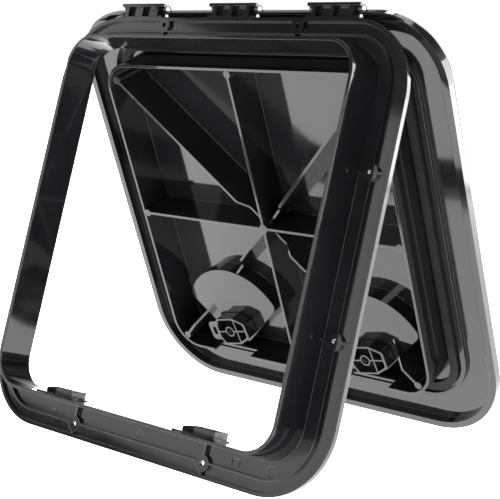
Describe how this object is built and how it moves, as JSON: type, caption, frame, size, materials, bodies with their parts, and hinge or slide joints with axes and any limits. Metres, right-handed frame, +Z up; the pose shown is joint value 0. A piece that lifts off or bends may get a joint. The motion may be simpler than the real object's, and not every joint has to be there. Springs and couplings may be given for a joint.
{
  "type": "deck hatch",
  "caption": "Square boat deck access hatch: flanged moulded frame with coaming, ribbed hinged lid and turning lever latches that hook under keepers.",
  "frame": {"origin": "on the floor under the middle of the part's box, as the open hatch stands on its two free edges", "axes": "+X along the hinge, +Y from the frame's leg to the lid's leg, +Z up; the frame's under-deck side faces -Y"},
  "size_m": [0.5106, 0.3624, 0.4725],
  "materials": {
    "moulding": "gloss",
    "keeper": "gloss",
    "lever": "gloss",
    "cam": "gloss",
    "seal": "matt",
    "bush": "satin",
    "steel": "brushed"
  },
  "bodies": {
    "frame": {"frame": "moulding", "keeper_left": "keeper", "keeper_right": "keeper"},
    "lid": {"lid": "moulding", "lid_seal": "seal", "hinge_pin_left": "steel", "hinge_pin_centre": "steel", "hinge_pin_right": "steel", "latch_bush_left": "bush", "latch_bush_right": "bush"},
    "latch_left": {"handle_left": "lever", "handle_seal_left": "seal", "spring_washer_left": "steel", "cam_left": "cam", "cam_screw_left": "steel"},
    "latch_right": {"handle_right": "lever", "handle_seal_right": "seal", "spring_washer_right": "steel", "cam_right": "cam", "cam_screw_right": "steel"}
  },
  "joints": [
    {"name": "lid_hinge", "type": "hinge", "parent": "frame", "child": "lid", "pos_m": [0, -0.00935, 0.46586], "axis": [1, 0, 0], "range_deg": [-38.75, 61.25]},
    {"name": "latch_left", "type": "hinge", "parent": "lid", "child": "latch_left", "pos_m": [-0.1026, 0.14185, 0.08907], "axis": [0, 0.9281, 0.3724], "range_deg": [-79, 11]},
    {"name": "latch_right", "type": "hinge", "parent": "lid", "child": "latch_right", "pos_m": [0.1026, 0.14185, 0.08907], "axis": [0, 0.9281, 0.3724], "range_deg": [-79, 11]}
  ]
}
